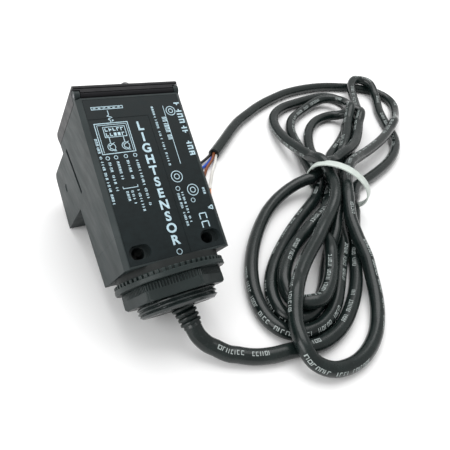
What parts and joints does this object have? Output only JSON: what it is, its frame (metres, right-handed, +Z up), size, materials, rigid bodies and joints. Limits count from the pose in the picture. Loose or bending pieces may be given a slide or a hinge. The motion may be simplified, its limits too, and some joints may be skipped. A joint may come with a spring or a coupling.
{
  "type": "photoelectric sensor",
  "caption": "Rectangular photoelectric sensor with a lens head, hinged cover, threaded base and nut, and a tied cable that ends in bare cores.",
  "frame": {"origin": "centre of the footprint box of the sensor without its cable, on the surface it rests on", "axes": "+Z up; +X across the case, to the right seen from the base end; +Y from the threaded base towards the hinged cover"},
  "size_m": [0.2848, 0.2142, 0.0694],
  "materials": {
    "housing_plastic": "fine moulded texture",
    "label_film": "satin printed plate",
    "cover_plastic": "fine moulded texture",
    "clear_plastic": "clear, slightly cloudy",
    "pin_steel": "bright",
    "black_rubber": "matt",
    "dial_plastic": "moulded",
    "selector_plastic": "moulded",
    "part_blue": "moulded",
    "switch_black": "moulded",
    "led_green": "clear tinted",
    "window_red": "dark red filter",
    "filter_film": "polarising film",
    "lens_clear": "clear",
    "holder_black": "black moulding",
    "led_red": "clear tinted",
    "diode_dark": "dark tinted",
    "board_green": "solder mask",
    "capacitor_sleeve": "sleeved can",
    "chip_black": "moulded",
    "link_film": "polyimide film",
    "nut_plastic": "moulded, faint grain",
    "barrel_plastic": "moulded, slight gloss",
    "cable_jacket": "satin extruded",
    "tie_nylon": "white nylon",
    "core_brown": "satin",
    "core_blue": "satin",
    "core_white": "satin",
    "core_black": "satin"
  },
  "bodies": {
    "casing": {"main_housing": "housing_plastic", "base_block": "housing_plastic", "label_plate": "label_film", "cover_hinge_pins": "pin_steel", "cover_gasket": "black_rubber", "sensitivity_pot": "part_blue", "selector_switch": "switch_black", "status_leds": "led_green", "lens_bezel": "holder_black", "front_window": "window_red", "polarising_filter": "filter_film", "lenses": "lens_clear", "optics_holder": "holder_black", "emitter_led": "led_red", "receiver_photodiode": "diode_dark", "optics_board": "board_green", "main_circuit_board": "board_green", "capacitors": "capacitor_sleeve", "output_transistors": "chip_black", "control_chips": "chip_black", "board_screws": "pin_steel", "flex_link": "link_film", "threaded_barrel": "barrel_plastic", "base_gasket": "black_rubber", "barrel_disc": "barrel_plastic", "strain_relief": "cable_jacket", "cable_lead": "cable_jacket", "cable_bundle": "cable_jacket", "cable_tail": "cable_jacket", "cable_tie": "tie_nylon", "brown_core": "core_brown", "blue_core": "core_blue", "white_core": "core_white", "black_core": "core_black"},
    "cover": {"top_cover": "cover_plastic", "indicator_dome": "clear_plastic"},
    "sensitivity_dial": {"sensitivity_adjuster": "dial_plastic"},
    "mode_dial": {"light_dark_selector": "selector_plastic"},
    "ring": {"lock_ring": "nut_plastic"},
    "nut": {"mounting_nut": "nut_plastic"}
  },
  "joints": [
    {"name": "cover_hinge", "type": "hinge", "parent": "casing", "child": "cover", "pos_m": [0, 0.02321, 0.06638], "axis": [1, 0, 0], "range_deg": [0, 90]},
    {"name": "sensitivity_turn", "type": "hinge", "parent": "casing", "child": "sensitivity_dial", "pos_m": [-0.009, 0.02738, 0.05491], "axis": [0, 0.8627, 0.5058], "range_deg": [-135, 135]},
    {"name": "mode_turn", "type": "hinge", "parent": "casing", "child": "mode_dial", "pos_m": [0.009, 0.02738, 0.05491], "axis": [0, 0.8627, 0.5058], "range_deg": [0, 90]},
    {"name": "ring_slide", "type": "slide", "parent": "casing", "child": "ring", "axis": [0, -0.8627, -0.5058], "range_m": [0, 0.003]},
    {"name": "nut_turn", "type": "hinge", "parent": "ring", "child": "nut", "pos_m": [0, -0.03257, 0.01877], "axis": [0, -0.8627, -0.5058], "range_deg": [0, 720]}
  ],
  "couplings": [
    {"joint": "ring_slide", "follows": "nut_turn", "m_per_rad": 0.00023873}
  ]
}
